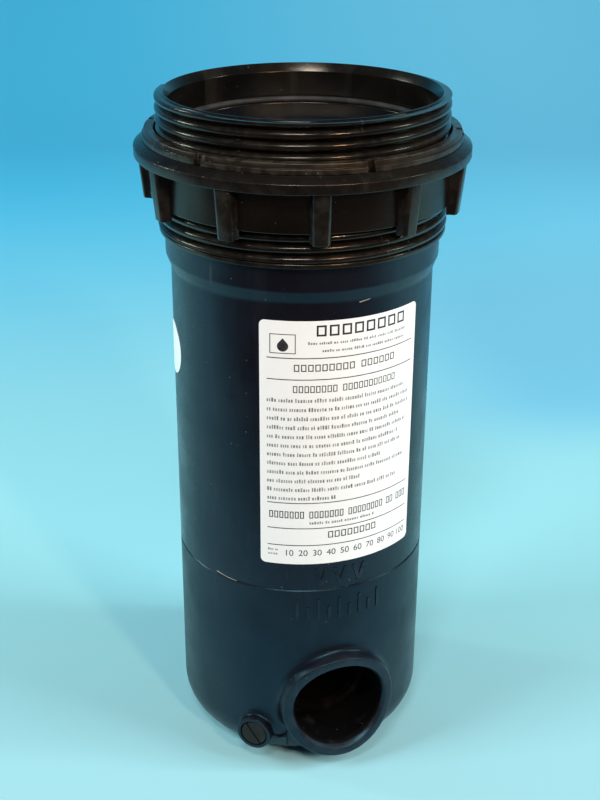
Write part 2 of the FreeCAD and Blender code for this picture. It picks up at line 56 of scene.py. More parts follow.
# ---------------------------------------------------------------- driving sizes, in millimetres
TANK_RADIUS, TANK_WALL = 81.0, 4.0
SEAM = corners_of("tank_upper")[0].z
TOP = corners_of("tank_upper")[1].z
BASE_ROUND, FLOOR = 30.0, 6.0
TONGUE_WALL, TONGUE_LENGTH = 1.9, 10.0
NECK_RADIUS, MOUTH_RADIUS = 84.1, 79.5
LEDGE, LEDGE_RADIUS = 408.0, 75.5
SHOULDER_RADIUS, SHOULDER_LOW, SHOULDER_HIGH = 87.4, 349.6, 352.2
COLLAR_LOW, COLLAR_TAPER = 335.0, 8.0

PITCH, THREAD_START, THREAD_TURNS, THREAD_AZIMUTH = 6.35, 352.65, 11.8, -100.0
THREAD_DEPTH, THREAD_HALF = 3.75, 2.9

SOCKET_HEIGHT, SOCKET_AZIMUTH = 49.5, 18.0
SOCKET_OUTER, SOCKET_BORE, SOCKET_THROAT = 38.0, 30.2, 26.0
SOCKET_STOP, SOCKET_INNER_END, SOCKET_MOUTH = 50.0, 46.0, 90.0

DRAIN_HEIGHT, DRAIN_AZIMUTH = 25.0, -20.5
DRAIN_OUTER, DRAIN_FACE, DRAIN_RECESS, DRAIN_RECESS_DEPTH, DRAIN_BORE = 11.6, 86.5, 9.0, 3.6, 6.4
PLUG_HEAD, PLUG_HEAD_DEPTH, PLUG_SHANK, PLUG_LENGTH = 8.6, 2.6, 6.0, 10.0
SLOT_WIDTH, SLOT_DEPTH = 1.1, 0.7

NUT_BORE, NUT_WALL, NUT_LOW = 88.6, 91.8, 371.0
NUT_TOP = corners_of("mounting_nut")[1].z
LUG_LOW = corners_of("mounting_nut")[0].z
FLANGE_RADIUS, FLANGE_LOW, FLANGE_EDGE = 101.0, 395.4, 401.2
LUG_COUNT, LUG_AZIMUTH = 11, 6.3
NOTCH_COUNT, NOTCH_AZIMUTH, NOTCH_WIDTH, NOTCH_DEPTH = 6, 23.0, 4.5, 3.4

LABEL_START, LABEL_SWEEP = -17.6, 74.2
LABEL_GAP, LABEL_THICK, INK_GAP = 0.03, 0.22, 0.012
LABEL_LOW = corners_of("instruction_label")[0].z
LABEL_TOP = corners_of("instruction_label")[1].z
STICKER_AZIMUTH, STICKER_HEIGHT, STICKER_RADIUS = -78.0, 275.0, 17.0


# ---------------------------------------------------------------- outlines
def outline(points, steps=4):
    """Round the corners of a closed outline of (r, z) or (r, z, rounding) points."""
    made = []
    count = len(points)
    for i, point in enumerate(points):
        corner = Vector(point[:2])
        rounding = point[2] if len(point) > 2 else 0.0
        if rounding <= 0:
            made.append(tuple(corner))
            continue
        back = Vector(points[i - 1][:2]) - corner
        ahead = Vector(points[(i + 1) % count][:2]) - corner
        half = back.angle(ahead) / 2
        inset = min(rounding / math.tan(half), 0.49 * min(back.length, ahead.length))
        radius = inset * math.tan(half)
        back.normalize()
        ahead.normalize()
        centre = corner + (back + ahead).normalized() * (radius / math.sin(half))
        first = corner + back * inset - centre
        turn = first.angle_signed(corner + ahead * inset - centre)
        for k in range(steps + 1):
            arm = first.copy()
            arm.rotate(Matrix.Rotation(-turn * k / steps, 2))
            made.append(tuple(centre + arm))
    return made


def divided(points, low, high, step):
    """Add points to the upright stretch of an outline between two heights."""
    made = []
    for i, point in enumerate(points):
        made.append(point)
        after = points[(i + 1) % len(points)]
        if min(point[1], after[1]) > low - 1e-6 and max(point[1], after[1]) < high + 1e-6:
            span = math.dist(point, after)
            extra = int(span / step)
            for k in range(1, extra):
                part = k / extra
                made.append((point[0] + (after[0] - point[0]) * part,
                             point[1] + (after[1] - point[1]) * part))
    return made


# ---------------------------------------------------------------- meshes
def finish_mesh(bm, name, material, sharp=40.0):
    """Turn a bmesh in millimetres into a shaded piece, with its worn edges marked."""
    bmesh.ops.remove_doubles(bm, verts=bm.verts, dist=1e-4)
    bmesh.ops.recalc_face_normals(bm, faces=bm.faces)
    bmesh.ops.scale(bm, vec=(MM, MM, MM), verts=bm.verts)
    worn = [0.0] * len(bm.verts)
    bm.verts.index_update()
    for edge in bm.edges:
        if edge.is_manifold:
            bend = edge.calc_face_angle_signed(0.0)
            for vert in edge.verts:
                worn[vert.index] = max(worn[vert.index], bend)
    mesh = bpy.data.meshes.new(name)
    bm.to_mesh(mesh)
    bm.free()
    mark = mesh.attributes.new("edge", "FLOAT", "POINT")
    soft, hard = math.radians(4), math.radians(14)
    mark.data.foreach_set("value", [min(1, max(0, (bend - soft) / (hard - soft))) for bend in worn])
    mesh.shade_smooth()
    mesh.set_sharp_from_angle(angle=math.radians(sharp))
    piece = bpy.data.objects.new(name, mesh)
    bpy.context.scene.collection.objects.link(piece)
    mesh.materials.append(material)
    return piece


def grid_mesh(rows, wrap_rows=True, wrap_columns=True):
    """A bmesh over rows of points, joined in quads."""
    bm = bmesh.new()
    verts = [[bm.verts.new(point) for point in row] for row in rows]
    last_row = len(rows) if wrap_rows else len(rows) - 1
    last_column = len(rows[0]) if wrap_columns else len(rows[0]) - 1
    for i in range(last_row):
        here, there = verts[i], verts[(i + 1) % len(rows)]
        for j in range(last_column):
            k = (j + 1) % len(rows[0])
            bm.faces.new((here[j], here[k], there[k], there[j]))
    return bm


def turned_mesh(points, count=240, relief=None, azimuths=None):
    """A closed outline of (r, z) turned about the upright axis."""
    azimuths = azimuths or [360.0 * k / count for k in range(count)]
    rows = []
    for azimuth in azimuths:
        east, south = math.sin(math.radians(azimuth)), -math.cos(math.radians(azimuth))
        row = []
        for r, z in points:
            reach = relief(azimuth, r, z) if relief else r
            row.append((reach * east, reach * south, z))
        rows.append(row)
    return grid_mesh(rows)


def turned(name, points, material, **choices):
    sharp = choices.pop("sharp", 40.0)
    return finish_mesh(turned_mesh(points, **choices), name, material, sharp)


def aim(azimuth, reach, height):
    """Local Z points outward at that azimuth, from that distance off the axis."""
    turn = Matrix.Rotation(math.radians(azimuth), 4, "Z") @ Matrix.Rotation(math.radians(90), 4, "X")
    out = Vector((math.sin(math.radians(azimuth)), -math.cos(math.radians(azimuth)), 0))
    return Matrix.Translation(out * reach + Vector((0, 0, height))) @ turn


def settle(piece):
    """Apply a piece's modifiers to its own mesh."""
    evaluated = piece.evaluated_get(bpy.context.evaluated_depsgraph_get())
    mesh = bpy.data.meshes.new_from_object(evaluated)
    piece.modifiers.clear()
    piece.data = mesh


def carve(piece, cutters):
    """Cut other pieces out of one, and drop them."""
    for cutter in cutters:
        cut = piece.modifiers.new("cut", "BOOLEAN")
        cut.operation, cut.solver, cut.object = "DIFFERENCE", "EXACT", cutter
    settle(piece)
    for cutter in cutters:
        bpy.data.objects.remove(cutter)


def prism(bm, loop_low, loop_high):
    """A closed solid between two loops of as many points."""
    low = [bm.verts.new(point) for point in loop_low]
    high = [bm.verts.new(point) for point in loop_high]
    bm.faces.new(low)
    bm.faces.new(high)
    for i in range(len(low)):
        k = (i + 1) % len(low)
        bm.faces.new((low[i], low[k], high[k], high[i]))


def wrapped(name, polygons, radius, thickness, material, step=2.0, soft=0.0):
    """Flat polygons, across and up in millimetres, laid round the tank as thin closed solids."""
    bm = bmesh.new()
    for polygon in polygons:
        bm.faces.new([bm.verts.new((x, z, 0)) for x, z in polygon])
    low = min(vert.co.x for vert in bm.verts)
    high = max(vert.co.x for vert in bm.verts)
    for k in range(math.floor(low / step), math.ceil(high / step) + 1):
        everything = bm.verts[:] + bm.edges[:] + bm.faces[:]
        bmesh.ops.bisect_plane(bm, geom=everything, plane_co=(k * step, 0, 0), plane_no=(1, 0, 0),
                               dist=1e-5)
    if thickness:
        skin = bmesh.ops.extrude_face_region(bm, geom=bm.faces[:])
        for item in skin["geom"]:
            if isinstance(item, bmesh.types.BMVert):
                item.co.z = thickness
    for vert in bm.verts:
        angle, reach = vert.co.x / radius, radius + vert.co.z
        vert.co = (reach * math.sin(angle), -reach * math.cos(angle), vert.co.y)
    piece = finish_mesh(bm, name, material)
    if soft:
        bevel = piece.modifiers.new("soft", "BEVEL")
        bevel.width, bevel.segments, bevel.limit_method = soft * MM, 2, "ANGLE"
        bevel.angle_limit = math.radians(50)
        settle(piece)
    return piece


def rectangle(left, right, low, high):
    return [(left, low), (right, low), (right, high), (left, high)]


def rounded_rectangle(left, right, low, high, rounding, steps=6):
    return outline([(left, low, rounding), (right, low, rounding),
                    (right, high, rounding), (left, high, rounding)], steps)


def arc_length(azimuth, radius=TANK_RADIUS):
    return math.radians(azimuth) * radius


# ---------------------------------------------------------------- materials
class Shader:
    """One node material, built up from small steps."""

    def __init__(self, name):
        self.material = bpy.data.materials.new(name)
        self.material.use_nodes = True
        self.tree = self.material.node_tree
        self.surface = self.tree.nodes["Principled BSDF"]
        self.place = self.tree.nodes.new("ShaderNodeTexCoord").outputs["Object"]

    def node(self, kind, settings=(), **inputs):
        made = self.tree.nodes.new(kind)
        for name, value in dict(settings).items():
            setattr(made, name, value)
        for name, value in inputs.items():
            self.feed(made.inputs[name.replace("_", " ")], value)
        return made

    def feed(self, socket, value):
        if isinstance(value, bpy.types.NodeSocket):
            self.tree.links.new(value, socket)
        else:
            socket.default_value = value

    def stretched(self, scale):
        return self.node("ShaderNodeMapping", Vector=self.place, Scale=scale).outputs["Vector"]

    def noise(self, scale, detail=4.0, roughness=0.55, stretch=None):
        place = self.stretched(stretch) if stretch else self.place
        return self.node("ShaderNodeTexNoise", Vector=place, Scale=scale, Detail=detail,
                         Roughness=roughness).outputs["Fac"]

    def cells(self, scale, feature="F1", stretch=None):
        place = self.stretched(stretch) if stretch else self.place
        return self.node("ShaderNodeTexVoronoi", {"feature": feature}, Vector=place, Scale=scale)

    def spread(self, value, low, high, to_low=0.0, to_high=1.0):
        made = self.node("ShaderNodeMapRange", {"interpolation_type": "SMOOTHSTEP"}, Value=value)
        limits = {"From Min": low, "From Max": high, "To Min": to_low, "To Max": to_high}
        for name, number in limits.items():
            made.inputs[name].default_value = number
        return made.outputs["Result"]

    def sums(self, operation, first, second):
        made = self.tree.nodes.new("ShaderNodeMath")
        made.operation = operation
        self.feed(made.inputs[0], first)
        self.feed(made.inputs[1], second)
        return made.outputs[0]

    def mix(self, share, first, second):
        made = self.tree.nodes.new("ShaderNodeMix")
        made.data_type = "RGBA"
        self.feed(made.inputs["Factor"], share)
        for socket, value in ((made.inputs[6], first), (made.inputs[7], second)):
            self.feed(socket, value if isinstance(value, bpy.types.NodeSocket) else (*value, 1))
        return made.outputs[2]

    def edge(self):
        return self.node("ShaderNodeAttribute", {"attribute_name": "edge"}).outputs["Fac"]

    def specks(self, scale, size, share):
        """Sparse small dots: share of the cells hold one."""
        dots = self.cells(scale)
        near = self.spread(dots.outputs["Distance"], size * 0.6, size, 1.0, 0.0)
        chosen = self.spread(dots.outputs["Color"], 1 - share, 1 - share + 0.02)
        return self.sums("MULTIPLY", near, chosen)

    def bump(self, height, distance, strength=1.0, under=None):
        made = self.node("ShaderNodeBump", Height=height, Distance=distance, Strength=strength)
        if under is not None:
            self.feed(made.inputs["Normal"], under)
        return made.outputs["Normal"]

    def set(self, **inputs):
        for name, value in inputs.items():
            if isinstance(value, tuple) and len(value) == 3:
                value = (*value, 1)
            self.feed(self.surface.inputs[name.replace("_", " ")], value)
        return self.material


def moulded_plastic(name, dark, light, gloss, dust=(0.30, 0.32, 0.34), dust_share=0.5,
                    grain=0.00004, wave=0.0006, worn=(0.10, 0.10, 0.105), scuffs=0.4, rub=0.3,
                    painted_reflection_tint=(1.0, 1.0, 1.0), shine=0.5):
    """Injection-moulded plastic: uneven colour, fine grain, rubbed edges, scuffs and dust."""
    shade = Shader(name)
    cloud = shade.noise(14, 5, 0.6)
    streak = shade.noise(60, 3, 0.6, stretch=(1, 1, 0.12))
    colour = shade.mix(shade.spread(cloud, 0.35, 0.7), dark, light)
    colour = shade.mix(shade.sums("MULTIPLY", shade.spread(streak, 0.55, 0.75), 0.08), colour, worn)
    edge = shade.sums("MULTIPLY", shade.edge(), shade.spread(shade.noise(160, 4), 0.42, 0.66, 0.02, rub))
    colour = shade.mix(edge, colour, worn)
    scratch = shade.noise(240, 2, 0.5, stretch=(1, 1, 0.05))
    scratch = shade.sums("MULTIPLY", shade.spread(scratch, 0.69, 0.74),
                         shade.spread(shade.noise(22, 3), 0.5, 0.62, 0.0, scuffs))
    colour = shade.mix(scratch, colour, worn)
    dots = shade.sums("MULTIPLY", shade.specks(190, 0.075, 0.32), dust_share)
    fine_dots = shade.sums("MULTIPLY", shade.specks(420, 0.11, 0.12), dust_share * 0.5)
    dots = shade.sums("MAXIMUM", dots, fine_dots)
    colour = shade.mix(dots, colour, dust)
    rough = shade.spread(shade.noise(35, 6, 0.65), 0.3, 0.75, gloss, gloss + 0.14)
    rough = shade.sums("ADD", rough, shade.sums("MULTIPLY", scratch, 0.3))
    rough = shade.sums("ADD", rough, shade.sums("MULTIPLY", dots, 0.4))
    normal = shade.bump(shade.noise(24, 2, 0.4), wave, 1.0)
    normal = shade.bump(shade.noise(1500, 3, 0.6), grain, 1.0, under=normal)
    normal = shade.bump(scratch, -0.00003, 1.0, under=normal)
    # The specular colour fed in here paints a colour into the reflections: painted reflection where it
    # is not white.
    return shade.set(Base_Color=colour, Roughness=rough, Normal=normal, IOR=1.5, Specular_Tint=painted_reflection_tint,
                     Specular_IOR_Level=shine)


def rubber(name, colour, gloss=0.55):
    """Moulded elastomer: matt, faint bloom and a fine skin."""
    shade = Shader(name)
    bloom = shade.spread(shade.noise(90, 5), 0.4, 0.75, 0.0, 0.35)
    base = shade.mix(bloom, colour, tuple(min(1, part * 2.2 + 0.03) for part in colour))
    rough = shade.spread(shade.noise(140, 4), 0.3, 0.7, gloss, gloss + 0.2)
    normal = shade.bump(shade.noise(2200, 3), 0.00003)
    return shade.set(Base_Color=base, Roughness=rough, Normal=normal)


def vinyl_label(name):
    """White label stock: faint stains, tiny lifts and a soft sheen."""
    shade = Shader(name)
    stain = shade.spread(shade.noise(30, 6, 0.7), 0.5, 0.8, 0.0, 0.5)
    base = shade.mix(stain, (0.86, 0.88, 0.90), (0.74, 0.76, 0.78))
    marks = shade.sums("MULTIPLY", shade.specks(260, 0.09, 0.2), 0.5)
    base = shade.mix(marks, base, (0.42, 0.42, 0.42))
    rough = shade.spread(shade.noise(60, 4), 0.3, 0.7, 0.34, 0.5)
    normal = shade.bump(shade.noise(45, 3), 0.00025)
    normal = shade.bump(shade.noise(1900, 2), 0.00001, under=normal)
    return shade.set(Base_Color=base, Roughness=rough, Normal=normal)


def printed_ink(name, dark, pale, fade):
    """Screen-printed ink that thins out in patches."""
    shade = Shader(name)
    patch = shade.spread(shade.noise(420, 3, 0.7), 0.35, 0.75, 0.0, fade)
    rough = shade.spread(shade.noise(300, 2), 0.3, 0.7, 0.4, 0.6)
    normal = shade.bump(shade.noise(2500, 2), 0.00001)
    return shade.set(Base_Color=shade.mix(patch, dark, pale), Roughness=rough, Normal=normal)


def pleat_fabric(name):
    """Spun-bonded polyester: random fibres, patchy grime, and pleat crests lighter than the folds."""
    shade = Shader(name)
    fibres = shade.noise(900, 4, 0.7, stretch=(1, 1, 0.35))
    grime = shade.spread(shade.noise(18, 5, 0.6), 0.4, 0.75, 0.0, 0.45)
    base = shade.mix(shade.spread(fibres, 0.35, 0.7), (0.70, 0.72, 0.73), (0.88, 0.89, 0.89))
    base = shade.mix(grime, base, (0.55, 0.54, 0.50))
    # The marked pleat crests are made lighter than the folds.
    base = shade.mix(shade.sums("MULTIPLY", shade.edge(), 0.35), base, (0.93, 0.94, 0.94))
    weld = shade.spread(shade.cells(620).outputs["Distance"], 0.15, 0.4)
    normal = shade.bump(fibres, 0.00012)
    normal = shade.bump(weld, 0.00008, under=normal)
    return shade.set(Base_Color=base, Roughness=shade.spread(fibres, 0.2, 0.8, 0.72, 0.92),
                     Normal=normal, Sheen_Weight=0.25)


def cast_urethane(name, dark, light):
    """Poured end cap: mottled colour, small bubbles and a satin skin."""
    shade = Shader(name)
    base = shade.mix(shade.spread(shade.noise(40, 5), 0.3, 0.7), dark, light)
    pale = tuple(part * 1.8 + 0.03 for part in light)
    base = shade.mix(shade.sums("MULTIPLY", shade.edge(), 0.3), base, pale)
    bubbles = shade.specks(420, 0.16, 0.25)
    base = shade.mix(shade.sums("MULTIPLY", bubbles, 0.4), base, tuple(part * 0.5 for part in dark))
    normal = shade.bump(shade.noise(50, 3), 0.0003)
    normal = shade.bump(bubbles, -0.0001, under=normal)
    return shade.set(Base_Color=base, Roughness=shade.spread(shade.noise(80, 4), 0.3, 0.7, 0.36, 0.55),
                     Normal=normal, Coat_Weight=0.15)


def pale_plastic(name, base_tone, stain_tone, gloss=0.38):
    """White or natural engineering plastic with water staining."""
    shade = Shader(name)
    stain = shade.spread(shade.noise(26, 6, 0.65), 0.42, 0.75, 0.0, 0.6)
    base = shade.mix(stain, base_tone, stain_tone)
    line = shade.spread(shade.noise(90, 3, 0.5, stretch=(1, 1, 0.08)), 0.6, 0.72, 0.0, 0.3)
    base = shade.mix(line, base, stain_tone)
    normal = shade.bump(shade.noise(1700, 3), 0.00002)
    rough = shade.spread(shade.noise(70, 4), 0.3, 0.7, gloss, gloss + 0.15)
    return shade.set(Base_Color=base, Roughness=rough, Normal=normal, Subsurface_Weight=0.04)


def stainless(name):
    """Drawn stainless wire."""
    shade = Shader(name)
    drawn = shade.noise(900, 3, 0.6, stretch=(1, 1, 0.2))
    base = shade.mix(shade.spread(drawn, 0.3, 0.7), (0.46, 0.46, 0.45), (0.68, 0.68, 0.67))
    return shade.set(Base_Color=base, Metallic=1.0, Roughness=shade.spread(drawn, 0.3, 0.7, 0.2, 0.38),
                     Normal=shade.bump(drawn, 0.00002))


# Gloss colours, painted reflection: a cool blue cast painted into the tank's gloss, a warm or dim cast
# painted into the gloss of the neck, the nut and its ring.
COOL_PAINTED_REFLECTION, WARM_PAINTED_REFLECTION, DIM_PAINTED_REFLECTION = (0.28, 0.72, 1.0), (1.0, 0.88, 0.78), (1.0, 0.86, 0.76)
TANK = moulded_plastic("tank_plastic", (0.004, 0.0022, 0.004), (0.007, 0.005, 0.009), 0.25,
                       painted_reflection_tint=COOL_PAINTED_REFLECTION, worn=(0.05, 0.06, 0.07), rub=0.2)
BASE = moulded_plastic("base_plastic", (0.003, 0.003, 0.006), (0.007, 0.008, 0.013), 0.3,
                       scuffs=0.25, grain=0.00005, painted_reflection_tint=COOL_PAINTED_REFLECTION, worn=(0.06, 0.07, 0.08), rub=0.12)
# Near-black copy of the base plastic with dim gloss, for bores, recesses and the outlet elbow: painted
# shade.
PAINTED_BORE_SHADE = moulded_plastic("bore_painted_shade", (0.0005, 0.0006, 0.001), (0.0012, 0.0012, 0.0015), 0.6,
                       scuffs=0.05, rub=0.05, shine=0.15)
NECK = moulded_plastic("neck_plastic", (0.002, 0.002, 0.002), (0.006, 0.0045, 0.003), 0.13,
                       dust_share=0.3, wave=0.0003, worn=(0.09, 0.075, 0.06), rub=0.12, painted_reflection_tint=WARM_PAINTED_REFLECTION)
NUT = moulded_plastic("nut_plastic", (0.002, 0.0016, 0.0013), (0.006, 0.0045, 0.003), 0.2,
                      wave=0.0003, worn=(0.10, 0.095, 0.09), painted_reflection_tint=DIM_PAINTED_REFLECTION, rub=0.1, shine=0.42)
RING = moulded_plastic("slip_ring_plastic", (0.004, 0.003, 0.002), (0.010, 0.0075, 0.005), 0.25,
                       wave=0.0003, worn=(0.13, 0.11, 0.09), painted_reflection_tint=WARM_PAINTED_REFLECTION, rub=0.25)
PLUG = moulded_plastic("plug_plastic", (0.006, 0.0045, 0.004), (0.012, 0.009, 0.008), 0.5,
                       dust_share=0.3, shine=0.3, rub=0.1)
SCUFF = moulded_plastic("scuffed_plastic", (0.22, 0.20, 0.18), (0.42, 0.38, 0.34), 0.4)
LABEL = vinyl_label("label_vinyl")
INK = printed_ink("label_ink", (0.012, 0.012, 0.016), (0.10, 0.10, 0.11), 0.5)
SMALL_INK = printed_ink("label_small_ink", (0.10, 0.10, 0.105), (0.50, 0.51, 0.53), 0.9)
SEAL = rubber("seal_rubber", (0.013, 0.013, 0.014))
GASKET = rubber("gasket_foam", (0.09, 0.10, 0.11), 0.7)
CAP = cast_urethane("cap_urethane", (0.02, 0.09, 0.26), (0.035, 0.14, 0.36))
FABRIC = pleat_fabric("pleat_fabric")
BAND = rubber("band_strap", (0.16, 0.19, 0.23), 0.6)
CORE = pale_plastic("core_pvc", (0.78, 0.79, 0.78), (0.60, 0.58, 0.52))
VALVE = pale_plastic("valve_acetal", (0.72, 0.72, 0.69), (0.52, 0.50, 0.44))
POPPET = pale_plastic("poppet_acetal", (0.60, 0.61, 0.60), (0.42, 0.41, 0.38), 0.3)
SPRING = stainless("spring_wire")


# ---------------------------------------------------------------- tank
def thread_relief(azimuth, z):
    """Height of the neck thread above the neck at one place."""
    turns = (z - THREAD_START) / PITCH - (azimuth - THREAD_AZIMUTH) / 360.0
    nearest = min(max(round(turns), 0), int(THREAD_TURNS))
    offset = abs(turns - nearest) * PITCH
    if offset >= THREAD_HALF:
        return 0.0
    along = (nearest + ((azimuth - THREAD_AZIMUTH) % 360.0) / 360.0)
    fade = min(1.0, along / 0.12, (THREAD_TURNS - along) / 0.12)
    return max(0.0, fade) * THREAD_DEPTH * (1 - (offset / THREAD_HALF) ** 3.0)


def make_tank_upper():
    """Upper tank shell in one turn: skirt, wall, collar, shoulder, threaded neck and inner ledge."""
    inner = TANK_RADIUS - TANK_WALL
    clearance = 0.1
    skirt = inner + TONGUE_WALL + clearance
    socket_top = SEAM + TONGUE_LENGTH + clearance
    thread_low, thread_high = SHOULDER_HIGH + 0.8, TOP - 1.0
    points = outline([
        (skirt, SEAM), (TANK_RADIUS - 0.8, SEAM), (TANK_RADIUS, SEAM + 0.8, 0.5),
        (TANK_RADIUS, COLLAR_LOW - COLLAR_TAPER, 8.0), (NECK_RADIUS, COLLAR_LOW, 5.0),
        (NECK_RADIUS, SHOULDER_LOW, 0.4), (SHOULDER_RADIUS, SHOULDER_LOW, 0.5),
        (SHOULDER_RADIUS, SHOULDER_HIGH, 0.7), (NECK_RADIUS, thread_low, 0.3),
        (NECK_RADIUS, TOP - 0.9, 0.6), (NECK_RADIUS - 0.8, TOP, 0.5),
        (NECK_RADIUS - 1.4, TOP, 0.3), (MOUTH_RADIUS, TOP - 5.1, 0.8),
        (MOUTH_RADIUS, LEDGE, 0.6), (LEDGE_RADIUS, LEDGE, 0.7), (LEDGE_RADIUS, LEDGE - 9, 1.5),
        (inner, LEDGE - 17, 4.0), (inner, socket_top), (skirt, socket_top)])
    points = divided(points, thread_low, thread_high, 0.42)

    def relief(azimuth, r, z):
        if abs(r - NECK_RADIUS) > 0.01 or not thread_low < z < thread_high:
            return r
        signed = azimuth if azimuth < 180 else azimuth - 360
        return r + max(thread_relief(signed + 360 * k, z) for k in (-1, 0, 1))

    piece = turned("tank_upper_shell", points, TANK, count=360, relief=relief, sharp=60)
    piece.data.materials.append(NECK)
    for face in piece.data.polygons:
        if face.center.z > (SHOULDER_LOW - 6) * MM:
            face.material_index = 1
    return piece


def bowl_radius(z):
    """The base's outer radius at one height."""
    if z >= BASE_ROUND:
        return TANK_RADIUS
    return TANK_RADIUS - BASE_ROUND + math.sqrt(max(0.0, BASE_ROUND ** 2 - (BASE_ROUND - z) ** 2))


def make_bowl():
    """Base bowl with its tongue, drilled for the sockets and the drain bosses."""
    inner = TANK_RADIUS - TANK_WALL
    tongue = inner + TONGUE_WALL
    points = outline([
        (0.01, 0.0), (24.0, 0.0), (TANK_RADIUS, 0.0, BASE_ROUND), (TANK_RADIUS, SEAM - 0.8, 0.5),
        (TANK_RADIUS - 0.8, SEAM), (tongue, SEAM), (tongue, SEAM + TONGUE_LENGTH, 0.4),
        (inner, SEAM + TONGUE_LENGTH, 0.4), (inner, FLOOR, BASE_ROUND - TANK_WALL), (0.01, FLOOR)], 14)
    bowl = turned("tank_base_bowl", points, BASE)
    cutters = []
    for azimuth in (SOCKET_AZIMUTH, SOCKET_AZIMUTH + 180):
        cutters.append(drill(SOCKET_OUTER - 3.5, 40, 60, azimuth, SOCKET_HEIGHT))
    for azimuth in (DRAIN_AZIMUTH, DRAIN_AZIMUTH + 180):
        cutters.append(drill(DRAIN_OUTER - 2.5, 50, 60, azimuth, DRAIN_HEIGHT))
    carve(bowl, cutters)
    bowl.data.shade_smooth()
    bowl.data.set_sharp_from_angle(angle=math.radians(40))
    return bowl


def drill(radius, start, length, azimuth, height):
    """A plain cylinder, used only as a cutting tool."""
    bm = bmesh.new()
    bmesh.ops.create_cone(bm, cap_ends=True, segments=72, radius1=radius, radius2=radius, depth=length)
    bmesh.ops.transform(bm, matrix=aim(azimuth, start + length / 2, height), verts=bm.verts)
    return finish_mesh(bm, "drill", BASE)


def branch(name, azimuth, height, rings, bore, material, count=128):
    """A closed tube out of the bowl. Each ring is (radius, datum, offset): the datum is the bowl's
    skin, the mouth's round, or flat, and the offset is measured outward from it. What lies inside
    the bore's radius gets a near-black material with dim gloss: painted shade."""
    place = aim(azimuth, 0, height)
    rows = []
    for k in range(count):
        angle = 2 * math.pi * k / count
        row = []
        for radius, datum, offset in rings:
            across, up = radius * math.cos(angle), radius * math.sin(angle)
            if datum == "skin":
                reach = math.sqrt(bowl_radius(height + up) ** 2 - across ** 2) + offset
            elif datum == "mouth":
                reach = math.sqrt(SOCKET_MOUTH ** 2 - across ** 2) + offset
            else:
                reach = offset
            row.append(place @ Vector((across, up, reach)))
        rows.append(row)
    piece = finish_mesh(grid_mesh(rows), name, material, 50)
    # The second material, near black with dim gloss, is painted shade for the bore.
    piece.data.materials.append(PAINTED_BORE_SHADE)
    back = place.inverted()
    for face in piece.data.polygons:
        spot = back @ (face.center / MM)
        if math.hypot(spot.x, spot.y) < bore:
            face.material_index = 1
    return piece


def fillet_rings(radius, size, steps=6):
    """Rings that blend a tube's side into the bowl's skin."""
    rings = []
    for k in range(steps + 1):
        angle = math.pi / 2 * k / steps
        rings.append((radius + size * (1 - math.cos(angle)), "skin", size * (1 - math.sin(angle))))
    return rings


def edge_rings(radius, datum, offset, size, steps=4):
    """Rings that round a tube's rim, between its face and its side."""
    rings = []
    for k in range(steps + 1):
        angle = math.pi / 2 * k / steps
        rings.append((radius - size * (1 - math.sin(angle)), datum,
                      offset - size * (1 - math.cos(angle))))
    return rings


def make_socket(name, azimuth):
    """Slip socket: throat, stop, bore with a lead-in, rounded rim and a fillet into the bowl."""
    blend, lip = 3.0, 0.9
    rings = [(SOCKET_THROAT, "flat", SOCKET_INNER_END), (SOCKET_THROAT, "flat", SOCKET_STOP),
             (SOCKET_BORE, "flat", SOCKET_STOP), (SOCKET_BORE, "mouth", -8.0),
             (SOCKET_BORE, "mouth", -3.4), (SOCKET_BORE + 0.15, "mouth", -3.0),
             (SOCKET_BORE + 1.9, "mouth", -0.25), (SOCKET_BORE + 2.3, "mouth", 0.0)]
    rings += edge_rings(SOCKET_OUTER, "mouth", 0.0, lip)
    rings += fillet_rings(SOCKET_OUTER, blend)
    rings += [(SOCKET_OUTER + blend, "skin", -0.5), (SOCKET_OUTER - 1.0, "skin", -3.0),
              (SOCKET_OUTER - 1.0, "flat", SOCKET_INNER_END)]
    return branch(name, azimuth, SOCKET_HEIGHT, rings, SOCKET_BORE + 0.5, BASE)


def make_boss(name, azimuth):
    """Drain boss with the recess that its plug's head sits in."""
    lip, blend, floor = 0.7, 2.0, DRAIN_FACE - DRAIN_RECESS_DEPTH
    rings = [(DRAIN_BORE, "flat", 72.0), (DRAIN_BORE, "flat", floor), (DRAIN_RECESS, "flat", floor)]
    rings += [(DRAIN_RECESS, "flat", DRAIN_FACE - 0.5), (DRAIN_RECESS + 0.4, "flat", DRAIN_FACE)]
    rings += edge_rings(DRAIN_OUTER, "flat", DRAIN_FACE, lip)
    rings += fillet_rings(DRAIN_OUTER, blend)
    rings += [(DRAIN_OUTER + blend, "skin", -0.5), (DRAIN_OUTER - 0.5, "flat", 72.0)]
    return branch(name, azimuth, DRAIN_HEIGHT, rings, DRAIN_RECESS + 0.2, BASE, count=96)


def make_web(name, low_azimuth, high_azimuth):
    """Low rib that ties a drain boss to the socket beside it."""
    bm = bmesh.new()
    steps = 10
    rows = []
    for k in range(steps + 1):
        azimuth = math.radians(low_azimuth + (high_azimuth - low_azimuth) * k / steps)
        sag = 3.0 * math.sin(math.pi * k / steps)
        low, high, proud = 12.0 + sag * 0.4, 25.0 - sag, 3.6 - sag * 0.5
        section = outline([(bowl_radius(low) - 2, low), (bowl_radius(low) + proud, low, 0.8),
                           (bowl_radius(high) + proud, high, 0.8), (bowl_radius(high) - 2, high)], 3)
        rows.append([bm.verts.new((r * math.sin(azimuth), -r * math.cos(azimuth), z))
                     for r, z in section])
    for here, there in zip(rows, rows[1:]):
        for j in range(len(here)):
            k = (j + 1) % len(here)
            bm.faces.new((here[j], here[k], there[k], there[j]))
    bm.faces.new(rows[0])
    bm.faces.new(rows[-1])
    return finish_mesh(bm, name, BASE)


